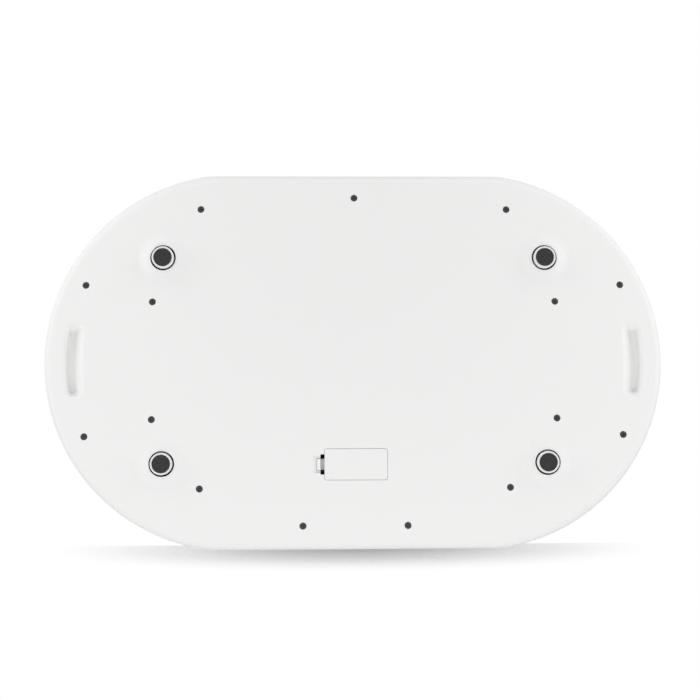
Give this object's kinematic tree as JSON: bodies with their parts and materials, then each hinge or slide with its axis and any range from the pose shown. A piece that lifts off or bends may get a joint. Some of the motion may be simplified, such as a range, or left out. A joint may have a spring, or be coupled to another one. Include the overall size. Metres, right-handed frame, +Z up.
{
  "type": "digital baby weighing scale",
  "caption": "Oval baby scale with a shallow dish, a sloping display shelf with press keys, load-cell feet, finger grips underneath and a latched battery door.",
  "frame": {"origin": "on the table, under the middle of the scale", "axes": "+Z up, X along the length, -Y to the front edge with the display and the keys"},
  "size_m": [0.545, 0.3304, 0.054],
  "materials": {
    "shell": "fine satin texture",
    "trim": "satin",
    "key": "soft gloss",
    "lens": "smoked gloss",
    "display": "satin",
    "board": "solder mask",
    "dark_plastic": "matte",
    "light_plastic": "matte",
    "pad": "textured",
    "dark_screw": "dark coating",
    "steel": "bright",
    "battery": "printed foil with no marks",
    "grey_lead": "sleeve",
    "red_lead": "sleeve",
    "black_lead": "sleeve"
  },
  "bodies": {
    "housing": {"base_shell": "shell", "tray_shell": "shell", "case_screws": "dark_screw", "retainer_screws": "steel", "board_screws": "steel", "battery_contact_bridge": "steel", "battery_contact_positive": "steel", "battery_contact_negative": "steel", "battery_front": "battery", "battery_rear": "battery", "display_lens": "lens", "display_module": "display", "main_board": "board", "controller_chip": "dark_plastic", "lead_sockets": "light_plastic", "tact_switches": "dark_plastic", "battery_lead_positive": "red_lead", "battery_lead_negative": "black_lead", "foot_cup_front_left": "trim", "foot_pad_front_left": "pad", "load_cell_front_left": "steel", "load_cell_retainer_front_left": "light_plastic", "load_cell_lead_front_left": "grey_lead", "foot_cup_front_right": "trim", "foot_pad_front_right": "pad", "load_cell_front_right": "steel", "load_cell_retainer_front_right": "light_plastic", "load_cell_lead_front_right": "grey_lead", "foot_cup_rear_left": "trim", "foot_pad_rear_left": "pad", "load_cell_rear_left": "steel", "load_cell_retainer_rear_left": "light_plastic", "load_cell_lead_rear_left": "grey_lead", "foot_cup_rear_right": "trim", "foot_pad_rear_right": "pad", "load_cell_rear_right": "steel", "load_cell_retainer_rear_right": "light_plastic", "load_cell_lead_rear_right": "grey_lead"},
    "unit_key": {"unit_button": "key", "unit_switch_plunger": "dark_plastic"},
    "hold_key": {"hold_button": "key", "hold_switch_plunger": "dark_plastic"},
    "tare_key": {"tare_button": "key", "tare_switch_plunger": "dark_plastic"},
    "battery_door": {"battery_door": "shell"},
    "battery_latch": {"battery_latch": "trim"}
  },
  "joints": [
    {"name": "unit_button_press", "type": "slide", "parent": "housing", "child": "unit_key", "axis": [0, 0.1478, -0.989], "range_m": [0, 0.0006], "stiffness_N_per_m": 2700, "springref_m": -0.0003},
    {"name": "hold_button_press", "type": "slide", "parent": "housing", "child": "hold_key", "axis": [0, 0.1478, -0.989], "range_m": [0, 0.0006], "stiffness_N_per_m": 2700, "springref_m": -0.0003},
    {"name": "tare_button_press", "type": "slide", "parent": "housing", "child": "tare_key", "axis": [0, 0.1478, -0.989], "range_m": [0, 0.0006], "stiffness_N_per_m": 2700, "springref_m": -0.0003},
    {"name": "battery_door_hinge", "type": "hinge", "parent": "housing", "child": "battery_door", "pos_m": [-0.02835, -0.0914, 0.0075], "axis": [0, 1, 0], "range_deg": [0, 60]},
    {"name": "battery_latch_press", "type": "slide", "parent": "battery_door", "child": "battery_latch", "axis": [-1, 0, 0], "range_m": [0, 0.0012], "stiffness_N_per_m": 2000}
  ]
}
